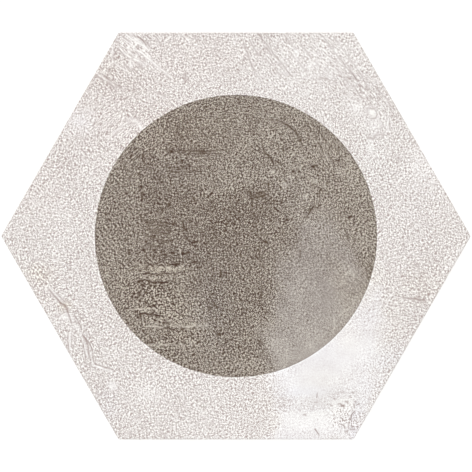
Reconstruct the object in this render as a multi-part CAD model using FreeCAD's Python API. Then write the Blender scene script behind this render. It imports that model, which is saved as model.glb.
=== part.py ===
# Hexagonal floor tile of pressed porcelain stoneware, fired as one piece.
# It lies face up: the glazed face is on top and the ribbed back rests on z = 0.
# Two corners point along X and two flats face along Y. The origin is the middle of the back.
# Lengths are in millimetres and angles in degrees.

import FreeCAD, Part
import math
import os

# Outline
across_corners = 250.0
thickness = 9.0
corner_radius = 1.2

# Side, from the glazed face down to the back
arris_radius = 0.8  # rounded edge of the glazed face
land_height = 3.0  # upright band below the face, the part of the side that meets the joint
draft_angle = 3.0  # lean of the side below the land, which lets the pressed tile leave its die
foot_chamfer = 0.5  # broken edge round the back

# Back: a waffle of shallow pockets, for the adhesive to grip, between ribs that cross square
rim_width = 7.0  # plain band between the broken edge and the pockets
rib_width = 2.6  # at the crest, which the tile rests on
pocket_rows = 12  # rows of pockets from one flat of the hexagon to the other
pocket_depth = 0.9
pocket_slope = 35.0  # lean of a pocket's wall from upright
least_pocket_share = 0.1  # a pocket that the rim leaves less of than this is left solid

SIDES = 6
HALF_TURN = 180.0 / SIDES  # from a corner of the hexagon to the middle of the next side

apothem = across_corners / 2 * math.cos(math.radians(HALF_TURN))
draft_height = thickness - land_height - foot_chamfer
draft_inset = draft_height * math.tan(math.radians(draft_angle))
field_apothem = apothem - draft_inset - foot_chamfer - rim_width
field_reach = field_apothem / math.cos(math.radians(HALF_TURN))
pocket_pitch = (2 * field_apothem + rib_width) / pocket_rows
wall_inset = pocket_depth * math.tan(math.radians(pocket_slope))


def hexagon_corners(inner_radius, z=0.0):
    """Corners of a hexagon with the given distance from its middle to its sides, anticlockwise."""
    reach = inner_radius / math.cos(math.radians(HALF_TURN))
    turns = [math.radians(2 * HALF_TURN * k) for k in range(SIDES)]
    return [FreeCAD.Vector(reach * math.cos(t), reach * math.sin(t), z) for t in turns]


def side_normals():
    """Outward directions of the six sides, each between the corners at its ends."""
    corners = hexagon_corners(1.0)
    return [(corners[k] + corners[(k + 1) % SIDES]).normalize() for k in range(SIDES)]


def rounded_hexagon(inner_radius, radius, z):
    """Hexagonal wire whose corners are arcs of the given radius."""
    centres = hexagon_corners(inner_radius - radius, z)
    normals = side_normals()
    edges = []
    for k in range(SIDES):
        start, end = centres[k], centres[(k + 1) % SIDES]
        normal, next_normal = normals[k], normals[(k + 1) % SIDES]
        middle = (normal + next_normal).normalize()
        side = Part.LineSegment(start + normal * radius, end + normal * radius)
        corner = Part.Arc(end + normal * radius, end + middle * radius, end + next_normal * radius)
        edges += [side.toShape(), corner.toShape()]
    return Part.Wire(edges)


def blank():
    """The tile without its back relief: rounded arris, upright land, drafted side and broken foot."""
    levels = [
        (0.0, draft_inset + foot_chamfer),
        (foot_chamfer, draft_inset),
        (foot_chamfer + draft_height, 0.0),
        (thickness, 0.0),
    ]
    sections = [rounded_hexagon(apothem - inset, corner_radius - inset, z) for z, inset in levels]
    body = Part.makeLoft(sections, True, True)
    face_edges = [e for e in body.Edges if all(abs(v.Z - thickness) < 1e-6 for v in e.Vertexes)]
    return body.makeFillet(arris_radius, face_edges)


def bar(offset, half_at_back, half_at_floor):
    """Straight bar along X, from the back to the pocket floors, with its half width at each."""
    profile = [
        (-half_at_back, 0.0),
        (half_at_back, 0.0),
        (half_at_floor, pocket_depth),
        (-half_at_floor, pocket_depth),
    ]
    points = [FreeCAD.Vector(-across_corners, offset + y, z) for y, z in profile]
    face = Part.Face(Part.makePolygon(points + points[:1]))
    return face.extrude(FreeCAD.Vector(2 * across_corners, 0, 0))


def turned(shape, angle):
    """A copy of a shape, turned about the middle of the tile."""
    copy = shape.copy()
    copy.rotate(FreeCAD.Vector(), FreeCAD.Vector(0, 0, 1), angle)
    return copy


def field():
    """The whole pocketed area as one recess, which narrows from the back to its floor."""
    across = bar(0.0, field_apothem, field_apothem - wall_inset)
    return across.common(turned(across, 2 * HALF_TURN)).common(turned(across, -2 * HALF_TURN))


def rib_offsets(reach):
    """Places of the ribs, one pitch apart and the same on both sides of the middle."""
    places = [(k - pocket_rows / 2) * pocket_pitch for k in range(-pocket_rows, 2 * pocket_rows)]
    return [place for place in places if abs(place) < reach]


def ribs():
    """The ribs between the rows of pockets, and those square to them at the same pitch."""
    crest, foot = rib_width / 2, rib_width / 2 + wall_inset
    rows = [bar(place, crest, foot) for place in rib_offsets(field_apothem)]
    columns = [turned(bar(place, crest, foot), 90) for place in rib_offsets(field_reach)]
    return rows + columns


def pockets():
    """The recess less its ribs, which leaves one cutter for each pocket."""
    whole = (pocket_pitch - rib_width) ** 2 * pocket_depth
    return [p for p in field().cut(ribs()).Solids if p.Volume > least_pocket_share * whole]


os.makedirs("parts", exist_ok=True)
hexagon_tile = blank().cut(pockets())
hexagon_tile.exportStep("parts/hexagon_tile.step")
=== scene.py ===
# Hexagonal porcelain floor tile, lying face up on a pale floor and seen from straight above.
# One piece stands for the whole tile: printed face with its marks, arris, sides and waffle back.
# Lengths are in millimetres up to the point where a mesh, a light or the camera is made.

import math

import bmesh
import bpy
import numpy as np
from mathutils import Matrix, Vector
from mathutils.geometry import delaunay_2d_cdt


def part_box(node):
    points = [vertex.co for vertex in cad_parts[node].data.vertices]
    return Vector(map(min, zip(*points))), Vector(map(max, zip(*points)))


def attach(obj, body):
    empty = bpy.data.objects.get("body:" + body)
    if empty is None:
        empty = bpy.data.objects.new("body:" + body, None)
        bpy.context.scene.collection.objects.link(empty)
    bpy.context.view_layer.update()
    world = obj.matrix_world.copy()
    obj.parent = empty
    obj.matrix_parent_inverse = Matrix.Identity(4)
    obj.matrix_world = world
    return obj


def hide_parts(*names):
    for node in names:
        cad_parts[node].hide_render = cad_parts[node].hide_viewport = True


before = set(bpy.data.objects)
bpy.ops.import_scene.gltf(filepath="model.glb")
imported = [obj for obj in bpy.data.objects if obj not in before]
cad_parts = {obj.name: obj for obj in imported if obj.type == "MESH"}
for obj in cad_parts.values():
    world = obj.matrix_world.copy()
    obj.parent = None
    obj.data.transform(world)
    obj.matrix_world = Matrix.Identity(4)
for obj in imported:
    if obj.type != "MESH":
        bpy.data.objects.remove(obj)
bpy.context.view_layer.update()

MM = 0.001
SIDES = 6
HALF_TURN = math.pi / SIDES  # from a corner of the hexagon to the middle of the next side

# The tile, from the frame
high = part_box("hexagon_tile")[1]
apothem = high.y / MM
thickness = high.z / MM

# Its edge and its back, as the solid has them
corner_radius = 1.2
arris_radius = 0.8
land_height = 3.0
draft_angle = 3.0  # degrees
foot_chamfer = 0.5
pocket_depth = 0.9

face_apothem = apothem - arris_radius  # of the flat part of the face, inside the arris
disc_radius = 75.1


# Camera, straight above with +Y up, as far away as frames the tile like the photograph
LENS = 150.0
SENSOR = 36.0
view_width = 251.0  # of the picture, at the height of the face


def add_camera():
    data = bpy.data.cameras.new("camera")
    data.lens = LENS
    data.sensor_width = SENSOR
    camera = bpy.data.objects.new("camera", data)
    camera.location.z = (thickness + view_width * LENS / SENSOR) * MM
    bpy.context.scene.collection.objects.link(camera)
    bpy.context.scene.camera = camera


add_camera()


# Light: a bright even studio that leaves the floor white, most of it from straight above
SKY = 0.33
TOP_LIGHT = 2.25
SIDE_LIGHT = 0.4


def add_sun(name, energy, angle, tilt, turn):
    """A far lamp, tilted from straight above and then turned about Z, in degrees."""
    data = bpy.data.lights.new(name, "SUN")
    data.energy = energy
    data.angle = math.radians(angle)
    sun = bpy.data.objects.new(name, data)
    sun.rotation_euler = (math.radians(tilt), 0, math.radians(turn))
    bpy.context.scene.collection.objects.link(sun)


def add_light():
    world = bpy.data.worlds.new("studio")
    world.use_nodes = True
    background = world.node_tree.nodes["Background"]
    background.inputs["Color"].default_value = (1, 1, 1, 1)
    background.inputs["Strength"].default_value = SKY
    bpy.context.scene.world = world
    add_sun("top_light", TOP_LIGHT, angle=5, tilt=0, turn=0)
    add_sun("side_light", SIDE_LIGHT, angle=30, tilt=44, turn=-150)
    bpy.context.scene.view_settings.view_transform = "Standard"


add_light()


# Noise that the mesh carries
NOISE_TABLE = 64  # cells after which it repeats
NOISE_START = 1000  # cells from its own start to the middle of the tile


def smooth_step(share):
    share = np.clip(share, 0, 1)
    return share * share * (3 - 2 * share)


def lattice_noise(x, y, cell, seed):
    """Smooth noise between -1 and 1 that changes over the given distance."""
    table = np.random.default_rng(seed).uniform(-1, 1, (NOISE_TABLE, NOISE_TABLE))
    u, v = x / cell + NOISE_START, y / cell + NOISE_START
    i, j = np.floor(u).astype(int), np.floor(v).astype(int)
    s, t = smooth_step(u - i), smooth_step(v - j)
    left, right, near, far = (k % NOISE_TABLE for k in (i, i + 1, j, j + 1))
    front = table[left, near] * (1 - s) + table[right, near] * s
    back = table[left, far] * (1 - s) + table[right, far] * s
    return front * (1 - t) + back * t


def turned(x, y, degrees=0):
    """Coordinates along and across a direction, which is given from +X."""
    c, s = math.cos(math.radians(degrees)), math.sin(math.radians(degrees))
    return x * c + y * s, y * c - x * s


def bent(x, y, reach, cell, seed):
    """Coordinates pushed about by noise, which frays what is drawn in them."""
    return x + reach * lattice_noise(x, y, cell, seed), y + reach * lattice_noise(x, y, cell, seed + 1)


# Clouds of the print: outline, width of the soft edge, and change of tone, grain and warmth inside
PALE_CLOUD = [
    (35, 9), (28, 0), (26, -10), (22, -18), (22, -27), (17, -36), (16, -56), (17, -72), (24, -80), (22, -92),
    (18, -112), (70, -112), (66, -98), (74, -84), (78, -66), (79, -50), (76, -34), (74, -24), (66, -10),
    (57, 4), (49, 13), (39, 13),
]
SMEAR = [(14, -36), (15, -50), (14, -62), (15, -76), (27, -73), (28, -42), (22, -37)]
DARK_CLOUD = [
    (-50, 30), (-38, 28), (-22, 26), (-5, 24), (6, 27), (20, 27), (25, 19), (28, 8), (22, -3), (15, -14),
    (14, -40), (13, -60), (6, -68), (-8, -64), (-13, -50), (-14, -32), (-26, -20), (-40, -14), (-50, -12),
]
WHITE_PATCH = [
    (18, -94), (30, -93), (40, -94), (50, -92), (51, -87.5), (56, -86), (62, -86.5), (64, -91), (61.5, -94),
    (60.5, -99), (60, -110), (18, -110),
]
BLUE_PATCH = [(62, -93.5), (68, -92.5), (72, -96), (63.5, -110), (61, -102.5), (60.8, -97)]
ROUGH_STRIP = [
    (16, -85), (30, -85), (44, -84), (52, -82), (66, -82), (70, -86), (64, -87), (52, -87), (50, -91),
    (40, -93), (16, -93),
]
CHIP = [(70.4, 67.4), (73.3, 67.1), (74.3, 63.2), (71.2, 63.0)]
CLOUDS = [
    (PALE_CLOUD, 13, 0.115, -0.55, -1.0),
    (SMEAR, 3, 0.05, 0.0, 0.0),
    (DARK_CLOUD, 11, -0.085, 0.0, 0.15),
]
# The crisp ones are bent less by the noise
CRISP_CLOUDS = [
    (WHITE_PATCH, 2.5, 0.05, -0.1, 0.4),
    (BLUE_PATCH, 1.5, -0.06, -0.1, -0.3),
    (ROUGH_STRIP, 4, -0.05, 0.15, 0.2),
    (CHIP, 0.9, 0.13, -0.6, 0.3),
]

# Patches of the print: x, y, half length, half width, change of tone, and turn in degrees unless it is 0
PATCH_STRENGTH = 0.8  # of the changes of tone of the disc's and the ground's
DISC_PATCHES = [
    # broad
    (-50, 42, 16, 18, -0.07), (-60, 4, 12, 22, -0.06), (-22, 52, 20, 12, -0.05), (-57, -25, 12, 14, -0.05),
    (-28, -58, 18, 9, -0.05), (15, -45, 4, 24, -0.05), (-24, -26, 6, 4, -0.09), (-64, 33, 4, 6, -0.04),
    (62, -35, 9, 13, 0.12), (65, 30, 9, 12, 0.06), (40, -55, 13, 13, 0.08), (38, 28, 10, 8, 0.05),
    (50, -30, 8, 10, 0.04), (64, 0, 6, 10, 0.04), (18, -12, 8, 6, -0.05), (58, -15, 8, 3, -0.05),
    (-61, 8, 8, 13, -0.09), (-48, 40, 6, 7, -0.07), (-39, 17, 9, 5, -0.08), (-16, 45, 6, 5, -0.09),
    (-34, 63, 5, 6, -0.08), (-14, 5, 5, 5, -0.07), (-36, -29, 10, 8, -0.1), (-66, -28, 5, 9, -0.08),
    (-35, -66, 6, 4, -0.09), (-14, -50, 5, 8, -0.05), (15, -62, 4, 7, -0.08), (36, 1, 8, 6, -0.07),
    (60, 38, 10, 9, 0.09), (20, 64, 10, 4, 0.08), (69, 24, 4, 6, 0.06), (73, -5, 4, 6, 0.08),
    (46, -5, 4, 4, 0.06), (55, -37, 7, 7, 0.07), (35, -30, 6, 9, 0.06), (35, -65, 8, 5, 0.07),
    (4, 46, 5, 6, 0.06), (55, 5, 4, 4, 0.05), (-31, 33, 7, 7, -0.06), (24, -45, 6, 8, -0.05),
    # upper left
    (-45, 40, 4, 2, -0.06), (-49, 37, 2, 2, -0.05), (-36, 46, 2, 2.5, -0.08), (-20, 46, 4, 1.3, -0.12),
    (-37, 58, 1.5, 2, -0.09), (-31, 50, 3, 3, -0.06), (-36, 8, 5, 5, -0.03), (-12, 16, 4, 3, -0.08),
    (-6, 9, 6, 7, -0.08), (-40, 33, 7, 4, -0.07), (-28, 35, 7, 3, -0.06), (-63, 33, 2, 3, 0.1),
    (-42, 50, 2.5, 1.5, 0.08), (-54, 46, 2.5, 3.5, 0.07), (-50, 17, 6, 3, 0.07), (-58, 10, 5, 4, 0.04),
    (-39, 44, 4, 1.3, 0.1), (-14, 60, 2, 4, 0.08), (-5, 64, 7, 5, 0.04), (-17, 18, 2.5, 2, 0.08),
    (-5, 36, 6, 6, 0.06), (-27, 66, 5, 3, 0.04, 20), (-66, 22, 3, 6, -0.03), (-8, 23, 3, 1.5, 0.06),
    (-30, 29, 6, 2, 0.04),
    # upper right
    (3, 56, 3, 2, -0.09), (9, 63, 3, 2, -0.07), (41, 37, 2.5, 1.5, -0.08), (55, 37, 2, 1.5, -0.09),
    (31, 34, 2, 1.3, -0.07), (9, 23, 8, 4, -0.04), (21, 19, 4, 3, -0.08), (2, 13, 5, 6, -0.08),
    (14, 11, 4, 5, -0.06), (26, 10, 2, 2, -0.09), (48, 25, 2, 2, -0.07), (61, 10, 2, 1.5, -0.08),
    (18, 54, 2.8, 2, 0.15), (9, 50, 2.5, 1.5, 0.1), (20, 34, 1.2, 1, 0.16), (6, 32, 1.5, 2, 0.09),
    (26, 27, 1.5, 2, 0.1, 20), (43, 29, 3, 1.5, 0.11), (37, 22, 4, 5, 0.1), (43, 20, 2, 3, 0.07),
    (52, 48, 4, 4, 0.08), (60, 33, 6, 4, 0.08, -30), (66, 21, 4, 6, 0.05), (58, 9, 2.5, 2, 0.12),
    (48, 13, 3, 4, 0.08), (42, 4, 8, 5, 0.07), (30, 9, 1.5, 1.5, 0.08), (34, 63, 5, 2, 0.05, -25),
    (35, 46, 12, 9, 0.03), (49, 27, 2, 2.5, 0.06), (54, 18, 6, 5, 0.04), (36, 64, 4, 4, 0.06),
    (15, 26, 4, 3, 0.06), (45, 44, 5, 5, 0.05), (30, 40, 7, 7, 0.03), (4, 30, 5, 6, 0.03),
    (-8, 52, 9, 13, 0.03), (15, -34, 3, 4, 0.05), (26, -35, 4, 4, -0.04), (-40, 1, 8, 8, 0.05),
    (-56, -14, 5, 5, -0.05), (-74, -5, 4, 8, -0.05), (-27, 31, 8, 8, 0.05), (-22, -6, 6, 6, 0.04),
    (-36, -56, 5, 5, -0.05), (5, 9, 12, 7, -0.04), (25, -5, 5, 5, -0.04), (-45, -35, 6, 5, -0.05),
    (-66, 16, 4, 5, -0.04), (-45, 56, 4, 4, -0.05), (50, -24, 9, 4, 0.03),
    # lower right
    (34, -56, 22, 15, 0.06), (25, -60, 8, 6, 0.04), (38.5, -58, 2, 1.8, 0.12), (18, -57, 3, 3, 0.13),
    (33, -38, 8, 5, 0.02), (6, -28, 3, 1.5, -0.06), (2.5, -42, 2.5, 1.5, -0.11, -20), (13, -56, 2, 2.5, -0.1),
    (13, -65, 2, 2, -0.15), (4, -57, 3, 2, -0.04), (8, -10, 4, 4, -0.03), (62, -12, 5, 2, -0.04),
    (29, -4, 5, 2, -0.06, 20), (34, -10, 1, 3, -0.05), (13.5, -22, 1.7, 1.5, 0.17), (16, -31, 2, 1.7, 0.1),
    (15, -52, 2, 1.5, 0.1), (19, -46, 3, 4, 0.02), (51.5, -12, 1.7, 1.5, 0.1), (67, -4, 2.5, 2, 0.12),
    (60, -18, 3, 4, 0.08, 30), (57, -44, 3, 4, 0.04), (5, -68, 5, 4, 0.13), (0, -57, 1.5, 1.5, 0.16),
    (9, -43, 3, 6, 0.05), (56, -27, 6, 3, -0.03), (61, -30, 2, 2, -0.06), (47, -30, 2, 6, -0.03),
    (8, -50, 4, 3, 0.04),
    # lower left
    (-38, -17.4, 9, 1.7, 0.42), (-47, -38.8, 9, 1.2, 0.16), (-45, -47, 7, 1.8, 0.14),
    (-25, -47.6, 11, 1.8, 0.16), (-39, -58, 9, 1.6, 0.12), (-43, -22.2, 8, 1.4, 0.18),
    (-31, -12, 5, 2.5, -0.05), (-16, -13, 3, 2, -0.09), (-15, -3, 3, 3, -0.05), (-56, -15, 2, 2, -0.11),
    (-40, -27, 2.7, 1.6, -0.08), (-36, -28, 1.6, 2.6, -0.08), (-53, -31, 3, 3, -0.06),
    (-59, -39, 1.3, 2.5, -0.12), (-37, -53, 2.6, 1.6, -0.13), (-8, -51, 2, 1.6, -0.08),
    (-24, -53, 2, 1.5, -0.1), (-14, -36, 3, 2.6, -0.06), (-6, -37, 3, 1.6, -0.07), (-39, -61, 2, 1.6, -0.13),
    (-32, -62, 3, 1.5, -0.09), (-22, -62, 1.2, 1.6, -0.1), (-53, -45, 1.6, 4, -0.07), (-30, -33, 3, 8, 0.07),
    (-68, -20, 2, 3, 0.08), (-45, -52, 4, 1.6, 0.07, -30), (-43, -57, 5, 1, 0.07), (-57, -46, 3, 2, 0.1, -35),
    (-66, -8, 5, 5, 0.03), (-60, -22, 3, 3, 0.06), (-9, -12, 3, 3, 0.06), (-62, -32, 4, 5, -0.02),
    (-10, -45, 4, 5, -0.02), (-68, 8, 6, 14, -0.06), (-47, -44, 6, 8, -0.05), (-30, -50, 8, 7, -0.05),
    (-59, -38, 7, 8, -0.06), (-45, -55, 7, 4, -0.05), (-35, -64, 6, 5, -0.04), (5, -35, 5, 5, -0.06),
]
GROUND_PATCHES = [
    # broad
    (-68, 88, 14, 13, -0.06), (-49, 64, 9, 5, -0.1, 30), (-88, 40, 14, 14, -0.05), (-106, -30, 5, 8, -0.06),
    (-80, -62, 10, 12, -0.04), (-45, -67, 6, 4, -0.08), (35, 100, 24, 10, 0.05), (64, 98, 8, 10, 0.06),
    (40, 84, 18, 7, 0.05), (97, 32, 9, 12, 0.08), (77, 42, 6, 9, 0.05), (114, 0, 8, 14, 0.05),
    (62, -63, 14, 10, 0.05), (66, -100, 5, 8, 0.1), (14, -105, 9, 4, 0.05), (76, -12, 5, 12, 0.03),
    (-65, 106, 6, 4, -0.11), (-14, 105, 7, 5, -0.12), (-77, 83, 6, 6, -0.07), (-58, 75, 10, 6, -0.08),
    (-49, 66, 8, 4, -0.12, 25), (-37, 66, 6, 4, -0.09, 30), (-72, 54, 7, 5, -0.07), (-105, -30, 5, 7, -0.07),
    (-76, -25, 4, 9, -0.05), (-65, -76, 13, 4, -0.07), (-44, -66, 5, 3, -0.08), (-36, -106, 6, 4, -0.09),
    (-62, -106, 9, 4, -0.06), (75, 5, 5, 6, -0.09), (95, -45, 5, 5, -0.08), (104, -4, 5, 7, -0.06),
    (85, 65, 5, 5, -0.08), (65, 75, 5, 5, -0.07), (34, -106, 12, 3, -0.1), (-94, 35, 8, 12, -0.04),
    (70, 38, 4, 7, 0.11), (56, 56, 4, 5, 0.08), (106, 25, 4, 6, 0.1), (98, 36, 5, 5, 0.06),
    (58, 101, 11, 6, 0.07), (36, -85, 7, 4, 0.06), (66, -101, 5, 7, 0.1), (118, -14, 5, 6, 0.08),
    (83, -61, 6, 7, 0.06), (-15, -105, 6, 5, 0.07), (34, 75, 9, 5, 0.05), (-106, 36, 4, 4, 0.07),
    # upper left
    (-83, 61, 7, 6, 0.13, 60), (-70, 83, 11, 7, -0.1, -30), (-63, 96, 4, 3, -0.14, -35),
    (-57, 103, 9, 3.5, 0.1, -35), (-48, 96, 5, 2, 0.07, -35), (-26.5, 84, 1.5, 3, -0.12),
    (-52, 60, 4, 1.2, 0.13, -35), (-89, 38, 5, 3, -0.11), (-94, 43, 2, 2, -0.12), (-79, 35, 5, 4, 0.1),
    (-50, 82, 16, 6, -0.07), (-26, 102, 6, 5, 0.08), (-105, 25, 8, 8, -0.03), (-97, 8, 10, 6, 0.03),
    (-68, 68, 6, 4, -0.03), (-43, 73, 3, 3, -0.08), (-84, 22, 6, 6, -0.03), (-77, 50, 6, 4, -0.03),
    (-35, 95, 5, 3, -0.03), (-69, 47, 2, 2, -0.1), (-66, 95, 5, 5, -0.05), (-56, 65, 12, 5, -0.06),
    (-46, 94, 5, 5, -0.04), (-15, 99, 6, 7, -0.05),
    # upper right
    (70, 79, 11, 5, -0.1, -40), (61, 84, 2, 2, -0.1), (75, 75, 2, 2, -0.09), (64, 70, 5, 5, 0.1),
    (76, 60, 7, 6, 0.1), (72, 66, 1.7, 1.7, 0.2), (70.5, 63.5, 1, 1, -0.1), (74, 68.5, 1, 1, -0.12),
    (74, 52.5, 4, 2, -0.09), (71, 48, 2, 2.5, 0.12), (86, 42, 4, 3, -0.13, 30), (93, 50, 3, 3, -0.08),
    (99, 38, 5, 10, 0.12, 30), (57, 60, 3, 2, -0.11), (45, 83.5, 4, 1, -0.11), (52, 70, 4, 3, -0.05),
    (14, 92, 12, 9, 0.02, -55), (40, 92, 12, 8, 0.05), (20, 81, 8, 5, 0.02), (-2, 86, 7, 5, -0.04),
    (80, 38, 7, 6, -0.02), (80, 20, 6, 9, 0.02), (32, 98, 2, 3, 0.08), (77, 31, 2, 2, -0.1),
    (75, 44, 4, 5, 0.07), (75, 25, 4, 6, 0.05), (66, 96, 5, 6, 0.05), (46, 66, 4, 4, 0.06),
    (75, 40, 3.5, 8, 0.05), (66, 75, 4, 4, -0.05), (-65, 46, 5, 12, -0.04), (-5, 95, 14, 8, -0.03),
    # right corner
    (104, -16, 12, 5, -0.07), (96, -25, 10, 5, -0.1), (97, -33.5, 6, 1.5, -0.2, -8),
    (86, -31.5, 4, 1.3, -0.12), (90, -22.5, 3, 1.3, -0.1), (94, -42, 5, 6, -0.07, 30),
    (79, -57, 5, 7, -0.04, 30), (83, -31, 5, 3, -0.03), (78, 2, 4, 12, 0.03),
    # lower right
    (44, -80, 28, 20, 0.045), (48, -98, 11, 7, 0.05), (30, -82, 9, 6, 0.02), (24, -90, 2, 2, -0.08),
    (61, -96, 2.5, 3.5, -0.12), (57, -101, 3, 3, -0.07), (50, -88, 10, 3, -0.05), (63, -103, 3, 3, -0.06),
    (50, -83, 2, 1, -0.05), (64, -98, 3, 4.5, -0.1), (72, -98, 5, 8, 0.07), (77, -86, 4, 5, 0.07),
    (24, -105, 7, 4, -0.04), (-95, -46, 4, 4, -0.07), (-75, -1, 2.5, 6, 0.05), (74, -5, 3, 5, 0.04),
    (90, 4, 14, 4, -0.03), (114, 35, 6, 6, 0.04), (-46, -80, 5, 8, 0.04), (46, -96, 6, 5, -0.05),
    (68, -106, 4, 4, 0.06), (-83, -14, 9, 12, -0.02),
    # lower left
    (-102, -20, 4, 3, -0.1), (-107, -15, 3, 3, -0.06), (-90.5, -37, 1.5, 2, -0.25),
    (-93, -44, 5, 3.5, 0.13, 40), (-87.5, -48, 2, 4, 0.1), (-98, -38, 4, 2, 0.07, -45),
    (-66, -79.5, 2.3, 2.3, 0.2), (-72, -80, 3.5, 3, -0.13), (-48, -82, 9, 6, 0.13), (-40, -80, 1.5, 2, -0.16),
    (-28, -79, 2, 1, -0.07), (-61, -53, 4, 3, -0.1), (-68, -44, 10, 9, -0.05), (-61, -75, 4, 2, 0.1),
    (-52, -66, 6, 4, -0.05), (-70, -97, 4, 3, -0.04), (-30, -95, 9, 7, -0.02), (-5, -90, 9, 8, 0.02),
    (-20, -85, 6, 4, 0.03), (-108, 0, 8, 6, -0.04),
]
GROUND_GRAIN = 1.38  # strength of the ground's grain, the disc's being 1
# Patches where the grain is stronger or weaker, by how much
GRAIN_PATCHES = [
    (-42, -32, 16, 17, 0.5), (-24, -57, 12, 8, 0.3), (-51, 104, 9, 5, 0.4, -35), (-92, -38, 9, 12, 0.35, -50),
    (-80, -60, 5, 14, 0.25, 25), (104, -10, 14, 10, 0.15), (60, 18, 7, 8, 0.15), (-68, 0, 8, 30, 0.3),
    (48, -38, 18, 16, -0.1), (-83, 60, 7, 6, -0.45), (68, 64, 9, 8, -0.35), (99, 40, 6, 8, -0.35),
    (-48, -83, 8, 6, -0.35), (45, 92, 16, 12, -0.2), (35, 45, 14, 12, -0.12), (57, -96, 6, 8, 0.6),
    (-60, 5, 8, 12, 0.1), (0, 15, 14, 10, 0.1), (-95, -44, 5, 4, -0.4), (-5, 88, 14, 8, -0.12),
    (-48, 55, 12, 8, 0.4, 35), (-62, -28, 8, 12, 0.2), (44, 3, 8, 8, 0.2), (35, -62, 14, 8, -0.15),
    (-108, -18, 8, 16, 0.35), (-102, 42, 8, 10, 0.3), (-82, -60, 8, 12, 0.3, 20), (-66, 95, 8, 10, 0.2),
    (35, 85, 36, 10, -0.2), (102, 6, 14, 8, 0.2), (-42, -77, 14, 5, 0.3), (48, -66, 28, 9, -0.33, 33),
    (45, -102, 26, 6, -0.15), (-66, 0, 8, 34, 0.2), (-52, 48, 14, 8, 0.25, 40), (-60, -36, 8, 12, 0.2),
    (70, 20, 5, 16, 0.25), (12, 28, 24, 12, -0.14), (0, -12, 14, 10, -0.14), (49, -30, 7, 9, -0.15),
    (58, -66, 24, 9, -0.18, 35), (48, -86, 18, 6, -0.2), (76, -58, 6, 12, -0.15), (-104, -12, 10, 26, 0.2),
    (-84, -56, 10, 14, 0.25), (-103, 30, 8, 11, 0.2), (-66, -74, 20, 6, 0.15), (112, 0, 14, 14, 0.2),
    (-38, -17, 8, 2, 0.3), (-47, -38.5, 9, 2, 0.5), (-38, -58, 10, 2, 0.5), (-38, -32, 10, 8, 0.3),
    (-60, 102, 10, 7, 0.3), (5, 82, 34, 7, -0.17), (45, 80, 20, 10, -0.15), (62, 66, 7, 6, -0.15),
    (46, -86, 22, 12, -0.2), (-40, -40, 16, 14, 0.25),
]
# Patches where the print is warmer, how much of the change of colour they have, and that change
WARM_TINT = (0.012, 0.0, -0.045)
WARM_PATCHES = [
    (57, -28, 6, 18, 0.9, 15), (-40, -17, 12, 3, 0.8), (-35, -35, 12, 14, 0.4), (-25, -52, 12, 6, 0.4),
    (-104, -20, 7, 5, 0.9), (-91, -37, 3, 3, 1.2), (100, -27, 14, 9, 0.4), (-20, 46, 6, 2, 0.5),
    (-68, 88, 12, 9, 0.25), (-83, 61, 7, 6, -0.5), (52, 48, 8, 6, 0.3), (18, -46, 5, 4, 0.6),
    (-35, 35, 12, 8, -0.4), (-28, -10, 14, 8, -0.4), (48, -86, 30, 18, 0.7), (74, -54, 9, 20, 0.6, -30),
    (-12, -38, 10, 24, -0.8), (69, -28, 7, 12, 1.2), (58, -54, 9, 9, 0.8), (20, 34, 10, 8, -0.1),
    (86, -64, 7, 7, -0.5), (36, -83, 20, 4, -0.5), (-68, -90, 6, 10, -0.4), (-20, 58, 24, 12, 0.35),
    (30, 22, 10, 12, -0.5), (96, 20, 9, 20, -0.15), (46, -76, 16, 11, 0.5),
]
# Patches where the print is pinker
PINK_TINT = (0.022, 0.0, -0.006)
PINK_PATCHES = [
    (-70, 70, 36, 34, 0.6), (-20, 95, 30, 16, 0.5), (-104, 24, 14, 16, 0.4), (-104, -34, 7, 8, 0.5),
    (-40, 52, 22, 18, 0.4), (-54, -30, 16, 18, 0.45), (-10, -36, 10, 16, -0.5), (50, -88, 26, 14, -0.6),
    (80, -64, 10, 12, -0.5), (74, 38, 9, 20, -0.35), (92, -38, 12, 8, -0.25), (-58, 10, 12, 12, 0.2),
]

# Way the grain runs, in degrees from +X: x, y, half length, half width, direction, and turn unless it is 0
GRAIN_RUNS = [
    (-58, 38, 14, 22, 45, -25), (-62, -5, 10, 14, 42), (-56, -38, 8, 12, 55, 20), (-36, 0, 11, 34, 2),
    (0, 58, 24, 12, 173), (-10, 5, 12, 14, 150), (-14, -50, 16, 16, 135), (16, -8, 13, 30, 42),
    (50, 5, 14, 48, 118), (38, 52, 12, 10, 60), (40, -45, 10, 20, 140), (8, 28, 12, 12, 55),
    (-58, 97, 16, 12, 138, -40), (-72, 82, 12, 8, 140, -35), (-28, 95, 12, 10, 165), (-48, 78, 8, 6, 60),
    (-72, 64, 14, 8, 42, 30), (-58, 66, 10, 6, 45, 35), (10, 95, 16, 12, 136), (-100, -26, 6, 8, 135),
    (60, 88, 34, 12, 134, -35), (-78, 58, 16, 12, 48, 40), (-98, 20, 14, 18, 150), (-108, -5, 16, 16, 170),
    (-100, -40, 8, 16, 132, 30), (-82, -36, 8, 16, 30), (-80, -68, 8, 16, 120, 20), (-60, -90, 18, 14, 158),
    (-25, -92, 16, 12, 170), (5, -92, 14, 12, 112), (40, -92, 16, 14, 80), (62, -100, 8, 10, 60),
    (78, -60, 10, 20, 128, 25), (98, 0, 22, 30, 162), (86, 48, 10, 16, 85, 30), (100, -40, 14, 14, 165),
]

LEAST_STREAKS, LEAST_BLOTCHES = 0.1, 0.15  # where no patch adds to them
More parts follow.
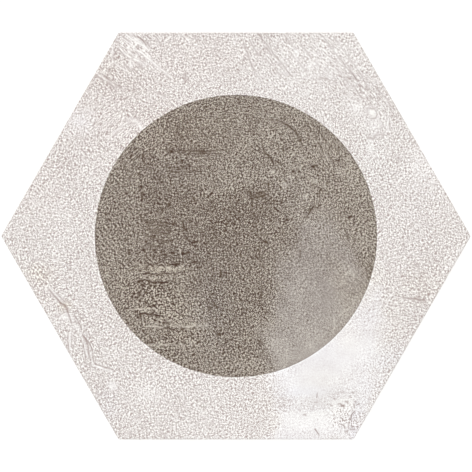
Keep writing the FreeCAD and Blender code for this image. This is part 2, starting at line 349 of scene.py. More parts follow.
# Patches where long streaks run with the grain
STREAK_PATCHES = [
    (-54, 98, 14, 12, 0.45, -40), (-70, 80, 12, 9, 0.25, -40), (-72, 62, 12, 8, 0.3, 40),
    (-60, 57, 12, 6, 0.25, 40), (20, 94, 34, 12, 0.3), (62, 84, 26, 9, 0.35, -45), (-30, 36, 22, 16, 0.18),
    (-42, -6, 10, 12, 0.25), (-38, -35, 16, 22, 0.2), (95, -28, 20, 13, 0.25), (-84, -40, 14, 18, 0.3),
    (-98, -12, 12, 12, 0.25), (52, 50, 14, 10, 0.35, -50), (62, -25, 8, 18, 0.35, -50),
    (-58, 42, 12, 7, 0.35, 45), (5, 60, 20, 8, 0.2), (10, 15, 22, 14, 0.1), (-20, -92, 24, 10, 0.15),
    (-98, 18, 12, 14, 0.15), (96, 8, 14, 20, 0.15),
]
# Patches where the print is blotched
BLOTCH_PATCHES = [
    (-43, -30, 12, 8, 1.0), (-40, -42, 14, 5, 0.6), (-30, -56, 16, 4, 0.7), (-52, 45, 8, 6, 0.3, -40),
    (57, -97, 10, 9, 0.8), (-104, -18, 8, 8, 0.6), (-30, -75, 12, 5, 0.5), (60, -25, 7, 14, 0.5, 10),
    (25, 47, 20, 12, 0.3), (-72, 84, 8, 8, 0.4), (60, 18, 8, 8, 0.4), (95, -28, 12, 8, 0.4),
    (-90, 38, 8, 6, 0.5), (0, -60, 10, 6, 0.4),
]

# Strokes: half width, change of tone, then x and y of each point of the line
DARK_STROKES = [
    # cracks at the lower left edge
    (0.55, -0.45, -99.5, -28.5, -97.5, -31, -95, -33.5, -92.8, -35.8),
    (0.95, -0.5, -93.5, -35.6, -91.6, -36.6, -90.2, -38.2, -89.5, -39.8),
    (0.45, -0.25, -95.8, -29.8, -93.6, -32.4, -91.4, -34.6),
    (0.45, -0.26, -90, -39.8, -92.3, -41.3, -94.2, -42.9),
    (0.6, -0.5, -89.6, -40.3, -89, -42.5, -88, -45, -87.6, -46.4),
    (0.5, -0.45, -86.2, -40.2, -85.3, -43, -84.3, -44.5, -83.2, -47, -82, -49.8),
    (0.6, -0.45, -81.7, -52.3, -80.2, -54.7, -79.3, -57, -78.8, -59, -78.4, -61.5, -77.8, -64.8),
    (0.5, -0.45, -80.8, -53, -79, -55.6, -77.5, -58.5, -76.4, -61, -76.2, -63.5, -75.8, -66, -74.6, -68.3),
    (0.45, -0.4, -74.6, -68.3, -71.5, -69.1, -68, -70.2, -65.5, -70.9),
    (0.45, -0.35, -81.6, -57, -80.8, -59.5, -80.2, -62.5, -79.6, -64.6),
    (0.45, -0.35, -80.2, -67, -78, -68.7, -76, -69.9, -74.8, -70.3),
    (0.45, -0.3, -89.5, -53, -89.6, -56, -88.8, -59, -88.5, -61.5),
    (0.4, -0.22, -87.4, -51, -87.2, -55, -87.5, -58.5), (0.5, -0.3, -87.5, -48.5, -86, -49.8),
    (0.5, -0.25, -109, -13, -104, -12.5, -100, -15, -99.2, -20, -102, -22),
    (0.6, -0.16, -79, -72, -78.5, -76, -77, -80), (0.8, -0.2, -76, -83.5, -72, -84.5, -68.5, -83),
    # scratches at the upper left
    (0.6, -0.4, -55, 107, -53.4, 106), (0.75, -0.6, -52.1, 106.1, -49.8, 104.1),
    (0.6, -0.45, -49.5, 103.8, -47.6, 101.9), (0.6, -0.45, -47.8, 106.8, -45.6, 105),
    (0.6, -0.4, -46.9, 103.2, -45.9, 100.6),
    (0.4, -0.32, -43.7, 106.4, -41.7, 104.8, -40.4, 102.5, -40.1, 101.2),
    (0.45, -0.3, -61.2, 107, -58.6, 104.6), (0.4, -0.25, -58.5, 104.3, -55.5, 102.2),
    (0.4, -0.25, -64, 103.5, -61.8, 101.9), (0.5, -0.3, -30, 107.3, -28.5, 106),
    (0.5, -0.35, -23, 107, -21, 104),
    (0.45, -0.35, -64.8, 97, -63.8, 98.3, -62.2, 98.9, -60.5, 97.6, -59.6, 96.2),
    (0.4, -0.28, -53, 97.4, -51.4, 96), (0.5, -0.4, -48.9, 94.5, -48.4, 93),
    (0.4, -0.25, -52.5, 91.5, -50, 89.6), (0.4, -0.28, -74, 85.4, -71, 83.3),
    (0.45, -0.34, -69.5, 84.7, -66.5, 82.6), (0.45, -0.3, -67.5, 80.8, -64.5, 78.8),
    (0.4, -0.25, -64.4, 81, -61.5, 79), (0.4, -0.26, -60, 92, -57, 89.5, -55.5, 88),
    (0.45, -0.3, -43.9, 76.4, -39.3, 75.2, -37.4, 73.6), (0.5, -0.26, -26.8, 86.5, -27.3, 82.5),
    # brushed lines at the top
    (0.6, -0.38, 11.5, 107.4, 13, 106.3, 14.3, 104.3), (0.5, -0.3, 15.5, 107.4, 17, 106, 18, 104.8),
    (0.6, -0.28, 4, 102.5, 4.6, 100.5, 6, 97.5, 6.8, 94.5, 8, 91.5, 9.3, 88.5),
    (0.5, -0.18, 9.5, 88.5, 11, 85.5, 13, 83, 14, 81.5), (0.6, -0.38, 16.5, 99.8, 17.5, 98.5, 18.7, 96.3),
    (0.5, -0.22, 15.5, 95.5, 16.5, 93.5, 18, 92), (0.4, -0.36, 22, 94.5, 25.5, 90.5, 27.5, 87.5, 29.5, 85),
    (0.35, -0.2, 21.5, 92.5, 25, 88.5, 27, 85.5), (0.5, -0.3, 22, 87.5, 24, 85),
    (0.4, -0.3, 36.5, 99.5, 39, 96), (0.4, -0.22, 42, 93, 44.5, 90), (0.45, -0.3, 34.5, 102.5, 35.5, 100),
    (0.5, -0.25, 45, 84.5, 49, 83.5), (0.4, -0.26, 7, 104, 9.5, 100, 12, 96),
    (0.4, -0.24, 30, 96, 34, 91.5, 37, 88), (0.4, -0.3, 14.3, 104.3, 18.7, 99, 22, 94.5),
    (0.4, -0.28, 25, 107.2, 28.5, 103.2, 32.1, 99.2),
    (0.35, -0.3, 46, 106.5, 50.7, 100.1, 57.8, 91.2, 64.9, 82.4),
    (0.35, -0.26, 52, 106, 58, 97.5, 64, 89.5, 68, 83.5),
    # the right corner
    (0.5, -0.45, 105.5, -12.3, 106, -13.2, 106.8, -13.5), (0.45, -0.35, 95.5, -15.8, 96.5, -16.5),
    (0.45, -0.45, 100.5, -25.2, 101.3, -26.3),
    (0.6, -0.35, 89, -33, 91, -33.2, 93, -33.5, 95, -33.2, 97, -34, 100, -34),
    (0.5, -0.35, 100, -32, 99.3, -33.8), (0.4, -0.35, 101, 6.5, 103.5, 4.8),
    (0.6, -0.26, 70, 52, 71.8, 52.2, 73, 51.5, 74, 53.1, 76, 53.6, 78.5, 53.8),
    (0.45, -0.2, 76.8, 56, 77.5, 58, 78.2, 60), (0.45, -0.3, 81.9, 61.2, 81.7, 59, 81.4, 56.5),
    (0.55, -0.26, 70.2, 64.6, 69.9, 67.9, 73.6, 67.9, 74.6, 66),
    (0.6, -0.34, 74.8, 64, 74.2, 62.8, 72.2, 62.6), (0.6, -0.26, 75.4, 77.9, 76.4, 76.2),
    (0.45, -0.22, 69.8, 80.2, 69, 78), (0.4, -0.22, 60.2, 90, 62, 86, 64, 83.2),
    (0.8, -0.24, 86, 42, 87, 40.8), (0.5, -0.22, 89.2, 45, 89.8, 43.2), (0.5, -0.18, 81.5, 42.5, 83.5, 41.5),
    (0.5, -0.18, 79.5, 73.5, 81.5, 70.5, 84, 67), (0.45, -0.16, 62.5, 79.5, 65, 76, 67, 72.8),
    (0.45, -0.16, 54, 88, 57.5, 84.5, 60.5, 80),
    # chips at the lower right
    (0.6, -0.72, 62.8, -93.5, 62, -94.5, 61.3, -96, 61, -97.3),
    (0.5, -0.38, 60, -100, 59.8, -102.2, 61, -103, 63, -103), (0.5, -0.65, 55.3, -96.6, 56.3, -97, 56.8, -98),
    (0.5, -0.6, 55.2, -99.8, 57.3, -100.5, 57.6, -101.3), (0.45, -0.22, 56, -102, 55.5, -104),
    (0.5, -0.65, 42.5, -103.3, 44, -105.3), (0.6, -0.72, 62.9, -89.8, 62.9, -91),
    (0.5, -0.6, 64.6, -89.8, 65.5, -89.4), (0.5, -0.45, 43, -84.2, 42.9, -85.6),
    (0.45, -0.35, 41.2, -90.6, 40.8, -92.3), (0.45, -0.3, 20.8, -95.3, 20.2, -97),
    (0.4, -0.25, 49.8, -94, 48.6, -95),
    # down the middle of the disc
    (0.5, -0.2, 6, 24, 8, 22, 9.3, 21),
    (0.4, -0.2, 8, 21, 8.5, 18, 8.2, 15, 9, 12.5, 9.7, 9, 10.3, 6.5, 11, 4),
    (0.36, -0.18, 11, 4, 11.3, 1, 11.8, -1.5, 13, -2.5), (0.36, -0.18, 12, -4, 12.5, -7, 13, -10, 13, -13),
    (0.36, -0.17, 13.2, -16, 13.4, -27, 13, -38), (0.36, -0.15, 13.4, -42, 13.2, -52, 13.6, -60),
    (0.4, -0.25, 10, 22.3, 13.5, 23, 16, 23.8), (0.4, -0.25, 10, 20.7, 13.5, 21.2, 17, 22),
    # level lines of the disc's upper left
    (0.36, -0.22, -38, 45.6, -33, 45.2, -27, 45.5, -22.5, 45.1), (0.38, -0.28, -22.5, 45.2, -17, 45),
    (0.36, -0.2, -17, 45.3, -10, 45.6, -3.5, 45.2), (0.32, -0.18, -26, 43.8, -22, 43.6, -14, 43.9, -8, 43.6),
    (0.36, -0.2, -39, 36.8, -33, 36.5, -27, 36.9, -21, 36.6, -14, 36.8),
    (0.32, -0.18, -35, 34.5, -30, 34.3, -24, 34.6, -19, 34.4), (0.32, -0.18, -27, 62.6, -18, 62.9, -8, 62.5),
    (0.32, -0.16, -33, 57.4, -24, 57.7, -14, 57.3), (0.32, -0.16, -30, 53.3, -22, 53, -12, 53.4),
    # upper right of the disc
    (0.5, -0.2, 18, 62.2, 20, 62.3, 22, 61.8),
    (0.8, -0.28, 22, 61.8, 25, 60.5, 28, 58.6, 30.5, 56.5, 32.5, 54, 34.3, 51),
    (0.5, -0.18, 34.3, 51, 35.6, 48.5), (0.6, -0.24, 44, 49.5, 45, 47.8), (0.6, -0.22, 40.2, 36.6, 42, 37.5),
    (0.45, -0.2, 38.6, 12, 39.8, 14, 42, 15.3, 44, 14.6), (0.4, -0.22, 25.4, 47.6, 25.3, 44.8),
    (0.4, -0.2, 48, 45, 50.5, 41, 52.5, 37.5), (0.4, -0.18, 37, 60.5, 40.5, 56, 43, 52.5),
    (0.4, -0.16, 41, 60, 45, 54.5, 48, 50), (0.4, -0.16, 52, 48, 55.5, 42.5, 58.5, 37),
    (0.5, -0.32, 14.8, 46, 15.3, 44.4, 17, 42.6, 18.4, 41.6), (0.5, -0.45, 19.3, 40.2, 20.2, 38.4),
    (0.45, -0.3, 21, 40.3, 23, 39, 24.3, 38.2), (0.5, -0.28, 44.7, 24.5, 44.2, 22, 44.5, 19.5, 43.8, 17),
    (0.5, -0.3, 41.5, 15.8, 40, 14, 39.3, 12.3, 37.5, 10.5), (0.4, -0.2, 47.5, 15, 49.5, 12, 50, 9),
    (0.5, -0.28, 57.5, 3, 58.5, 1.5, 59.5, -1), (0.5, -0.3, 34.3, -8, 34.2, -10.7),
    (0.4, -0.25, 17, 27.3, 17.6, 25.3), (0.6, -0.12, 26, 30, 28.5, 26.5),
    # level lines left of the middle
    (0.34, -0.24, -47.5, 7, -42.5, 7.6, -40, 7, -38, 7.4, -35.8, 6.6),
    (0.34, -0.24, -48, 5.1, -44.5, 5.6, -42, 6, -40, 5.2, -38, 5.6, -35.5, 5),
    (0.34, -0.24, -48.5, 3.2, -46, 3.6, -43, 3.1, -41, 3.6, -38.5, 3, -36, 3.4),
    (0.34, -0.24, -45, 2, -42, 1.2, -39, 1.7, -36, 1), (0.36, -0.24, -48.4, 0.5, -46, 0, -44, -0.4),
    (0.36, -0.24, -42.5, -2.2, -40, -1.7, -38, -2.4, -35.5, -2),
    (0.36, -0.24, -45.5, -5.8, -43, -5.4, -40.5, -5.7), (0.5, -0.38, -28.4, 7.6, -27.4, 5, -26.3, 2.8),
    (0.5, -0.45, -26.6, -0.4, -25, -2.5, -23.5, -3.4), (0.4, -0.25, -48, -10.4, -46, -13),
    (0.45, -0.3, -50.5, 22.6, -49.7, 20), (0.5, -0.25, -23.2, 20.6, -22, 18),
    # lower left of the disc
    (0.55, -0.5, -47.8, -17.5, -47.2, -15.8, -45.8, -15.2, -44.2, -15.9, -43.2, -18.4),
    (0.5, -0.46, -42, -17.6, -40.8, -15.7, -39.2, -15.4, -37.9, -16.5, -37.5, -18.2),
    (0.5, -0.42, -36.4, -15.7, -33.5, -15.3, -30.5, -16.4),
    (0.5, -0.46, -48.3, -20.2, -46.5, -19.7, -45, -20.4, -43, -20.1, -41.5, -20.7, -40, -19.8, -37, -20.1,
     -34, -20), (0.4, -0.28, -30.5, -18, -32, -20, -33, -22, -34, -24.5),
    (0.6, -0.52, -52.3, -24.1, -50.3, -24, -48.5, -23.3, -47.3, -23.6, -46.3, -24.7, -44, -24.8,
     -41.5, -24.6, -38, -25, -36.6, -24.6), (0.45, -0.28, -46.5, -25, -45.2, -26.7, -43.5, -27),
    (0.45, -0.32, -51, -25.4, -49.5, -26, -48.4, -26.7), (0.45, -0.3, -54.3, -30, -54.8, -33.2),
    (0.6, -0.5, -51.4, -41.8, -49, -41.1, -46.5, -41.9, -44, -41.4, -42.5, -42),
    (0.55, -0.45, -48.3, -35.7, -46.8, -35.9, -45.6, -38), (0.75, -0.6, -42.7, -42.2, -41.4, -42.4),
    (0.4, -0.36, -52.6, -33.2, -51.1, -29.9), (0.4, -0.36, -50.4, -34.2, -48.9, -30.8),
    (0.45, -0.38, -50.7, -28.9, -49.3, -26.6), (0.45, -0.38, -48.1, -29.7, -46.8, -27.4),
    (0.5, -0.4, -48, -56.8, -45, -56.3, -43, -56.9), (0.7, -0.34, -38.5, -46.2, -35.6, -46.4),
    (0.5, -0.45, -37.2, -49, -36.2, -48.7, -35.2, -49.2, -33.4, -49.7),
    (0.5, -0.38, -29.3, -49.2, -27.8, -49.1), (0.5, -0.36, -42, -31.8, -40.6, -31),
    (0.45, -0.3, -12, -34.8, -10.6, -37.4), (0.6, -0.4, -32.2, -15.2, -30.6, -15.1),
    (0.5, -0.34, -23.6, -13.9, -21.2, -13.7), (0.45, -0.34, -8.3, -18.8, -8.2, -21),
]
PALE_STROKES = [
    # beside the cracks
    (0.9, 0.16, -88.6, -40.8, -87.4, -43, -86.2, -46, -84.9, -49, -83.2, -52),
    (0.45, 0.28, -81.8, -54.5, -80.6, -57.5, -79.7, -60.5, -79, -63.8),
    (0.4, 0.18, -78, -58.8, -77.2, -61, -77, -64), (0.55, 0.28, -76.6, -66.6, -75.2, -69, -71.5, -70),
    (0.6, 0.24, -73.5, -69.6, -70, -70.9, -66, -72.1, -63.5, -72.9),
    (0.55, 0.26, -88.6, -51.6, -88.3, -55.5, -88, -60), (0.5, 0.22, -92.8, -42.7, -90.8, -41),
    (0.45, 0.18, -100.4, -27.2, -98.4, -30.2, -96, -32.8),
    (0.45, 0.22, -98.6, -27.8, -96.2, -30.6, -93.8, -33.4),
    # scratches at the upper left
    (0.55, 0.3, -74.5, 86.9, -70.3, 84, -65.7, 81.1, -64.4, 79.8),
    (0.5, 0.3, -65.4, 101.2, -66.1, 98, -66, 95, -65.4, 92.1), (0.5, 0.26, -65.1, 92.5, -62, 90, -58.6, 87.6),
    (0.5, 0.3, -62.8, 100.6, -58.6, 96.7, -56, 95, -52.1, 93.4, -48.2, 90.5),
    (0.45, 0.24, -60.5, 105.1, -56.3, 102.5), (0.5, 0.26, -58.6, 107, -52.7, 103.2, -46.9, 99.3),
    (0.45, 0.26, -55.8, 107.6, -50.8, 102.9, -47.6, 99.9),
    (0.6, 0.3, -54, 99.3, -50.5, 97.5, -47.6, 95.4, -43.7, 91.8, -38.5, 87.6, -34.6, 84.3),
    (0.4, 0.22, -64.5, 105.5, -62, 103.7), (0.45, 0.22, -57.5, 98.8, -54.5, 96.8),
    (0.4, 0.2, -48, 92.6, -44.5, 89.5), (0.5, 0.26, -56.3, 94.1, -56, 90.8),
    (0.4, 0.2, -80, 67.5, -76.5, 65.5, -73.5, 63.6), (0.4, 0.2, -52.1, 74.6, -50.1, 73),
    (0.4, 0.22, -14.5, 84.5, -11, 81),
    # upper right of the ground
    (0.5, 0.26, 81, 62.5, 80.7, 59, 81, 55.5), (1.6, 0.14, 71.5, 50.5, 71.4, 46),
    (2.6, 0.12, 74.5, 61, 73.5, 56), (2.2, 0.1, 63, 71, 65, 66.5),
    # by the disc at the upper left
    (1.7, 0.22, -57, 61.8, -53, 61, -51, 58), (0.5, 0.22, -68.5, 51.5, -64.5, 55, -60, 59),
    (0.5, 0.18, -66.5, 50.5, -62, 54.5, -57.5, 58.5), (0.45, 0.16, -63, 50, -58.5, 54, -55.5, 57),
    (0.45, 0.18, -43, 75, -38, 74, -36.5, 73),
    # lower left of the disc
    (0.7, 0.3, -46.9, -15.9, -45.8, -16.2), (0.7, 0.3, -41, -16.3, -39.6, -16.8),
    (0.7, 0.3, -36.8, -16.8, -35.2, -17.4), (0.7, 0.28, -31.3, -16.6, -29.6, -16.3),
    (1.0, 0.14, -50, -22, -47, -21.8, -44, -22.5), (0.8, 0.22, -35.2, -21, -34.2, -23),
    (0.5, 0.28, -45.3, -25.7, -43, -26, -40.8, -25.8, -38.5, -26.6), (0.5, 0.26, -38.6, -27, -37, -28.8),
    (0.5, 0.22, -58, -39.5, -56, -40), (0.5, 0.28, -50, -43, -49.5, -46), (0.8, 0.32, -36.2, -45, -34, -44.4),
    (0.7, 0.34, -53.5, -38.8, -51, -38.2, -48.5, -38.9, -46, -38.4, -43, -38.8),
    (0.6, 0.34, -48, -48.4, -43, -48, -39, -48.6, -37.5, -48),
    (0.6, 0.34, -33.5, -48.1, -29, -47.9, -25, -48.5, -21, -47.8, -15, -48),
    (0.6, 0.3, -47, -57.9, -43, -58.2, -39, -57.8, -35, -58.3, -31, -58),
    (0.4, 0.3, -51.6, -33.9, -50, -30.4), (0.45, 0.24, -15.8, -44, -15.6, -49.8),
    (0.8, 0.4, -23.8, -56.8, -23.4, -58.6), (0.8, 0.4, -22, -57.6, -20.6, -58.4),
    (0.6, 0.24, -30.5, -57, -28, -58), (0.5, 0.3, -18.5, -18, -17, -20, -15.7, -22, -15.2, -25, -14.2, -28),
    (0.8, 0.24, -14.5, -18.8, -12.5, -19.5, -10, -19.3), (0.5, 0.32, -8, -46, -7, -49),
    (0.9, 0.18, -45, -33, -42, -32.6, -40, -33.4),
    # the rest of the disc
    (0.55, 0.6, -29.8, -7.3, -29.5, -9, -28.9, -11),
    (0.4, 0.22, -49.2, -8.6, -49, -10.5, -49.6, -12.5, -49.5, -15), (0.4, 0.3, -58.3, -12.5, -58, -16),
    (0.35, 0.18, -57.2, -17.6, -55.7, -19.3), (0.35, 0.18, -56, -8.3, -53.5, -10),
    (0.5, 0.36, -40.5, 14, -41, 12, -41.3, 10.4), (0.4, 0.3, -19.6, 10, -19.3, 7.4),
    (0.4, 0.26, -23, 7, -22.4, 3.4), (0.4, 0.24, -25, 6, -24, 3), (0.35, 0.26, -20.1, 27, -20.2, 23),
    (0.5, 0.34, 25, 26.5, 25.4, 28.2, 26.5, 27.6, 26.8, 25.7, 25.3, 25.4), (0.6, 0.5, 47.6, 28.8, 47.3, 26.5),
    (0.45, 0.36, 47.3, 44, 48.5, 41.5, 48.7, 40.7), (0.7, 0.4, 21, 6.9, 22.3, 6.6),
    (0.7, 0.16, 52, -42, 52.2, -49), (1.0, 0.12, 60, -16, 62.5, -20),
]
# Specks: x, y, half width, change of tone
SPECKS = [
    # on the disc
    (-49.3, -7.5, 0.9, -0.65), (-56.8, -8.8, 0.8, -0.35), (-35.8, 16.4, 0.85, -0.48),
    (-22.4, -3.4, 0.8, -0.45), (-43.3, 31.3, 0.9, -0.45), (-40, 28.4, 0.8, -0.32), (-50.8, 26, 0.8, -0.35),
    (-51.5, 32.8, 0.8, -0.4), (-34.4, 44.7, 0.9, -0.42), (-29, 40, 0.8, -0.38), (-33.5, 6, 0.6, -0.3),
    (-28.6, -9.4, 0.9, -0.55), (-26, -8.7, 0.8, -0.4), (-33.5, -9, 0.7, -0.36), (-37.5, -10, 0.7, -0.36),
    (-45, -31, 0.8, -0.5), (-44.3, -37.2, 0.7, -0.5), (-42.4, -37.2, 0.7, -0.42), (-38.5, -35.5, 0.7, -0.36),
    (-33.5, -35.7, 0.8, -0.38), (-35.5, -32, 0.8, -0.32), (-33, -32.6, 0.7, -0.32), (-47.5, -30, 0.7, -0.36),
    (-57.5, -46.5, 0.8, -0.4), (-57.3, -25.7, 0.7, -0.36), (-51, -42.8, 0.7, -0.32), (-20, -56.4, 0.8, -0.42),
    (-22.7, -59, 0.7, -0.32), (-31.8, -57.5, 0.7, -0.36), (-24, -52.6, 0.8, -0.26),
    (-19.6, -16.8, 0.6, -0.34), (-5.3, -19.6, 0.7, -0.4), (-9, -52, 1.3, -0.22), (-14, -38, 1.2, -0.2),
    (27, 8.4, 1.0, -0.34), (31, 34.4, 1.0, -0.34), (41, 36.8, 1.0, -0.34), (54, 40, 0.8, -0.34),
    (27, 46.3, 0.8, -0.34), (60.6, 10.2, 0.9, -0.45), (48, 28.4, 0.6, -0.32), (15.8, -3.2, 0.8, -0.3),
    (-3, 4, 0.8, 0.42), (-4.5, 9.3, 0.7, 0.32), (19.6, 34, 1.1, 0.48), (43.8, 19.5, 0.8, 0.36),
    (37, 21, 1.1, 0.32), (42.3, 29.2, 1.1, 0.28), (54.5, 33.5, 0.8, 0.3), (59, 20, 1.1, 0.26),
    (33.7, 36, 0.8, 0.3), (28.3, 31.5, 0.8, 0.3), (18, 21.6, 0.8, 0.34), (-38.8, -32.4, 1.0, 0.28),
    # on the ground
    (57, -90.3, 1.1, -0.95), (68, -89.9, 0.6, -0.26), (63.3, -88, 0.6, -0.45), (58.8, -88.2, 0.7, -0.5),
    (55.2, -89, 0.7, -0.5), (52.2, -86.7, 0.6, -0.3), (56.7, -83.2, 0.6, -0.26), (62, -83.3, 0.6, -0.26),
    (50.8, -90, 0.7, -0.45), (36.5, -94.9, 0.8, -0.5), (28.6, -87.2, 0.6, -0.26), (29.6, -88.1, 0.6, -0.26),
    (33.5, -92.5, 0.7, -0.3), (23.5, -90.4, 0.7, -0.3), (24.5, -86, 0.6, -0.26), (25.7, -93.2, 0.6, -0.3),
    (66, -78.3, 0.7, -0.3), (71.2, -87, 0.7, -0.3), (58.8, -103.8, 0.8, -0.6), (54.2, -84.2, 0.6, -0.22),
    (60.3, -85.4, 0.6, -0.22), (42.5, -88.5, 0.7, -0.2), (53, -96.5, 0.6, -0.24), (46.6, -82, 0.6, -0.2),
    (-96.2, -42.4, 1.4, -0.2), (-67.3, 88.5, 0.9, -0.42), (-55, 94.6, 0.7, -0.35), (-38.3, 106.7, 0.7, -0.35),
    (10.8, 96.5, 0.7, -0.34), (29, 75.5, 0.7, -0.28), (102, -30.7, 0.8, -0.5), (97, -32.5, 0.7, -0.4),
    (103.5, -14.3, 0.6, -0.3), (86.4, -46.5, 0.6, -0.3), (84, -34.5, 0.6, -0.3), (76.5, -6.3, 0.7, -0.28),
    (31.8, 98, 1.2, 0.26), (-12, 101, 1.1, 0.22), (-91.2, -43.4, 1.8, 0.16), (-65.8, -79.6, 2.2, 0.22),
]
STROKE_NARROWING = 0.85  # of the half widths in the lists, which are as wide as the marks look
SPECK_REACH = 0.2  # half length of the short stroke that draws a speck
SPECK_STROKES = [
    (half_width, change, x - SPECK_REACH, y, x + SPECK_REACH, y) for x, y, half_width, change in SPECKS
]
# half width, change of tone, and the line as pairs of x and y
STROKES = [
    (STROKE_NARROWING * half_width, change, list(zip(places[::2], places[1::2])))
    for half_width, change, *places in DARK_STROKES + PALE_STROKES + SPECK_STROKES
]


def distance_to_line(x, y, line):
    """Distance of points to the nearest stretch of a line."""
    nearest = np.full_like(x, np.inf)
    for (ax, ay), (bx, by) in zip(line, line[1:]):
        dx, dy = bx - ax, by - ay
        share = np.clip(((x - ax) * dx + (y - ay) * dy) / (dx * dx + dy * dy), 0, 1)
        nearest = np.minimum(nearest, np.hypot(x - ax - share * dx, y - ay - share * dy))
    return nearest


def depth_inside(x, y, outline):
    """Distance of points to a closed outline, positive inside it."""
    closed = outline + outline[:1]
    crossings = np.zeros_like(x, dtype=int)
    for (ax, ay), (bx, by) in zip(closed, closed[1:]):
        if ay != by:
            crossings += ((ay > y) != (by > y)) & (x < ax + (bx - ax) * (y - ay) / (by - ay))
    nearest = distance_to_line(x, y, closed)
    return np.where(crossings % 2, nearest, -nearest)


def patch_sum(x, y, patches):
    """Sum of soft round or long patches, each strongest in its middle."""
    total = np.zeros_like(x)
    for px, py, length, width, change, *turn in patches:
        along, across = turned(x - px, y - py, *turn)
        total += change * np.exp(-((along / length) ** 2 + (across / width) ** 2))
    return total


FAINT_RUN = -0.02  # of a run at 135 degrees, which holds where no patch reaches
RUN_WAVERING = [(0.5, 5, 81), (0.4, 12, 82)]  # radians at twice the angle, cell, seed


def grain_run(x, y):
    """Way the grain runs, as a unit vector at twice its angle, which is the same for opposite directions."""
    across, up = np.zeros_like(x), np.full_like(x, FAINT_RUN)
    for px, py, length, width, run, *turn in GRAIN_RUNS:
        share = patch_sum(x, y, [(px, py, length, width, 1.0, *turn)])
        across += share * math.cos(math.radians(2 * run))
        up += share * math.sin(math.radians(2 * run))
    doubled = np.arctan2(up, across)
    for reach, cell, seed in RUN_WAVERING:
        doubled += reach * lattice_noise(x, y, cell, seed)
    return np.column_stack([np.cos(doubled), np.sin(doubled), np.zeros_like(x)])


# How the print is put together
STROKE_FLATNESS = 1.5  # above 1, a stroke is even over the middle of its width
STROKE_STRENGTH, STROKE_FRAYING = 1.1, 0.4  # of the lists' changes of tone, and how much noise changes it
MOTTLING = 0.03  # change of tone by each of the mottling's noises
MOTTLING_NOISES = [(3, 51), (6, 52), (12, 53)]  # cell, seed
DISC_CALM, GROUND_CALM = 0.6, 0.8  # share of the grain that a strong stroke takes away about its line
CALM_SPREAD, CALM_FLATNESS = 2.0, 1.6  # half widths of the stroke over which it does so, and how evenly
CALMING_CHANGE = 0.25  # the change of tone from which a stroke is a strong one
LEAST_GRAIN, MOST_GRAIN = 0.1, 2.5


def stroke_shares(x, y, spread=1.0):
    """For each stroke its change of tone, and how near points are: 1 on it, 0 from its half width on."""
    for half_width, change, line in STROKES:
        near = distance_to_line(x, y, line)
        yield change, np.clip(STROKE_FLATNESS * (1 - near / half_width / spread), 0, 1)


def stroke_coordinates(x, y):
    """The slightly bent coordinates that strokes are drawn in."""
    return bent(x, y, reach=0.3, cell=2.5, seed=31)


def mottling(x, y):
    """Unevenness of the print."""
    u, v = turned(x, y, degrees=20)
    return sum(MOTTLING * lattice_noise(u, v, cell, seed) for cell, seed in MOTTLING_NOISES)


def clouding(x, y):
    """Tone, strength of grain and tint of the print."""
    tone, grain, tint = np.zeros_like(x), np.ones_like(x), np.zeros((len(x), 3))
    for clouds, coordinates in (
        (CLOUDS, bent(*bent(x, y, reach=3.0, cell=10, seed=1), reach=1.2, cell=3.5, seed=5)),
        (CRISP_CLOUDS, bent(x, y, reach=0.5, cell=3.0, seed=8)),
    ):
        for outline, softness, change, rougher, warmer in clouds:
            share = smooth_step(0.5 + depth_inside(*coordinates, outline) / softness)
            tone += change * share
            grain += rougher * share
            tint += np.outer(share, np.multiply(warmer, WARM_TINT))
    on_disc = np.hypot(x, y) < disc_radius
    u, v = bent(x, y, reach=1.0, cell=2.8, seed=11)
    tone += PATCH_STRENGTH * np.where(on_disc, patch_sum(u, v, DISC_PATCHES), patch_sum(u, v, GROUND_PATCHES))
    tone += mottling(x, y)
    grain += patch_sum(u, v, GRAIN_PATCHES)
    warm, pink = patch_sum(u, v, WARM_PATCHES), patch_sum(u, v, PINK_PATCHES)
    tint += np.outer(warm, WARM_TINT) + np.outer(pink, PINK_TINT)
    u, v = stroke_coordinates(x, y)
    strength = STROKE_STRENGTH + STROKE_FRAYING * lattice_noise(x, y, cell=1.5, seed=41)
    for change, share in stroke_shares(u, v):
        tone += change * share * strength
    grain *= np.where(on_disc, 1, GROUND_GRAIN)
    calmer = np.where(on_disc, DISC_CALM, GROUND_CALM)
    for change, share in stroke_shares(u, v, CALM_SPREAD):
        grain *= 1 - calmer * min(abs(change) / CALMING_CHANGE, 1) * smooth_step(CALM_FLATNESS * share)
    return tone, np.clip(grain, LEAST_GRAIN, MOST_GRAIN), tint


# The mesh
FACE_PITCH = 0.86  # of the points of the face
FACE_JITTER = 0.12  # of those points, in shares of the pitch
SIDE_POINTS = 145  # along each side of the hexagon
ARRIS_STEPS, DRAFT_STEPS = 4, 3
STROKE_PITCH = 0.6  # of the points along a stroke
STROKE_CLEARANCE = 0.35  # between the points of a stroke and those of the face
LATTICE_MARGIN, STROKE_MARGIN = 0.6 * FACE_PITCH, 0.4 * FACE_PITCH  # of the points from the face's edge
UNBENDING_STEPS = 4
INSIDE_THE_EDGE = 1  # what the triangulation fills
CLOSEST = 1e-3  # points nearer than this become one in the triangulation
LEAST_INWARD = 0.001  # of the middle of a triangle of the face from the face's edge
UNEVENNESS = 0.06
CRACK_DEPTH = 0.16
UNEVENNESS_FADE, CRACK_FADE = 4.0, 1.2  # distance from the face's edge over which each comes in
DEEPEST_CHANGE = -0.30  # the change of tone from which a dark stroke is as deep as the cracks get
POCKET_ROUNDING = 0.3  # of the edges inside a pocket
BRIM_OUT, BRIM_IN, BRIM_HEIGHT = 0.25, 0.12, 0.17  # of the slope along a brim: over the rib, inwards, up
SOLID_WELD, WELD = 0.001, 0.002  # points nearer than this become one, in the solid and in the tile
SAME_HEIGHT = 0.01  # most difference
SHARP_ANGLE = 35  # degrees between faces from which an edge isn't smooth


